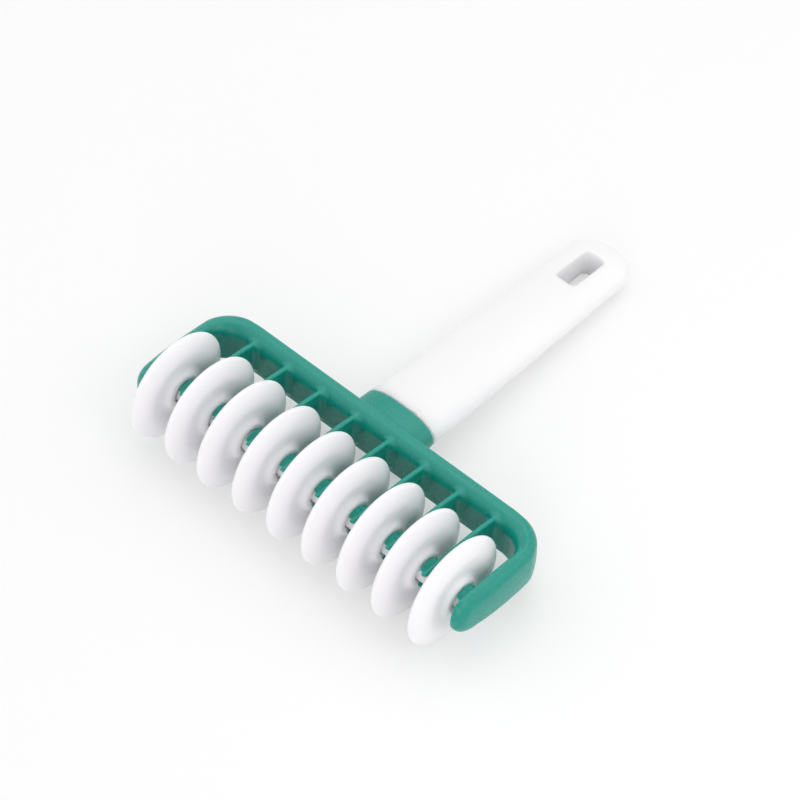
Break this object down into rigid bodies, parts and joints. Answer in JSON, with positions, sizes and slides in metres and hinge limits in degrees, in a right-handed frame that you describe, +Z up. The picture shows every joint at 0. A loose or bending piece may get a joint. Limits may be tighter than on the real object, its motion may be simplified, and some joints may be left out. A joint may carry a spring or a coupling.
{
  "type": "pastry roller cutter",
  "caption": "Hand roller with a row of blunt white discs turning on one axle in a green comb-shaped frame, and a flat oval handle with a hanging slot, for marking dough into strips.",
  "frame": {"origin": "on the table, under the middle of the whole tool's box, with the tool lying on its discs and the end of its handle", "axes": "+X along the axle, +Y from the discs towards the end of the handle, +Z up from the table"},
  "size_m": [0.1334, 0.1586, 0.0373],
  "materials": {
    "green_frame": "satin moulded teal-green plastic",
    "white_handle": "smooth satin moulded white plastic",
    "white_rollers": "smooth semi-gloss moulded white plastic"
  },
  "bodies": {
    "frame": {"comb_frame": "green_frame", "handle": "white_handle", "axle": "white_rollers"},
    "disc_1": {"roller_disc_1": "white_rollers"},
    "disc_2": {"roller_disc_2": "white_rollers"},
    "disc_3": {"roller_disc_3": "white_rollers"},
    "disc_4": {"roller_disc_4": "white_rollers"},
    "disc_5": {"roller_disc_5": "white_rollers"},
    "disc_6": {"roller_disc_6": "white_rollers"},
    "disc_7": {"roller_disc_7": "white_rollers"},
    "disc_8": {"roller_disc_8": "white_rollers"},
    "disc_9": {"roller_disc_9": "white_rollers"}
  },
  "joints": [
    {"name": "disc_1_spin", "type": "hinge", "parent": "frame", "child": "disc_1", "pos_m": [-0.056, -0.06071, 0.0187], "axis": [1, 0, 0], "continuous": true},
    {"name": "disc_2_spin", "type": "hinge", "parent": "frame", "child": "disc_2", "pos_m": [-0.042, -0.06071, 0.0187], "axis": [1, 0, 0], "continuous": true},
    {"name": "disc_3_spin", "type": "hinge", "parent": "frame", "child": "disc_3", "pos_m": [-0.028, -0.06071, 0.0187], "axis": [1, 0, 0], "continuous": true},
    {"name": "disc_4_spin", "type": "hinge", "parent": "frame", "child": "disc_4", "pos_m": [-0.014, -0.06071, 0.0187], "axis": [1, 0, 0], "continuous": true},
    {"name": "disc_5_spin", "type": "hinge", "parent": "frame", "child": "disc_5", "pos_m": [0, -0.06071, 0.0187], "axis": [1, 0, 0], "continuous": true},
    {"name": "disc_6_spin", "type": "hinge", "parent": "frame", "child": "disc_6", "pos_m": [0.014, -0.06071, 0.0187], "axis": [1, 0, 0], "continuous": true},
    {"name": "disc_7_spin", "type": "hinge", "parent": "frame", "child": "disc_7", "pos_m": [0.028, -0.06071, 0.0187], "axis": [1, 0, 0], "continuous": true},
    {"name": "disc_8_spin", "type": "hinge", "parent": "frame", "child": "disc_8", "pos_m": [0.042, -0.06071, 0.0187], "axis": [1, 0, 0], "continuous": true},
    {"name": "disc_9_spin", "type": "hinge", "parent": "frame", "child": "disc_9", "pos_m": [0.056, -0.06071, 0.0187], "axis": [1, 0, 0], "continuous": true}
  ]
}
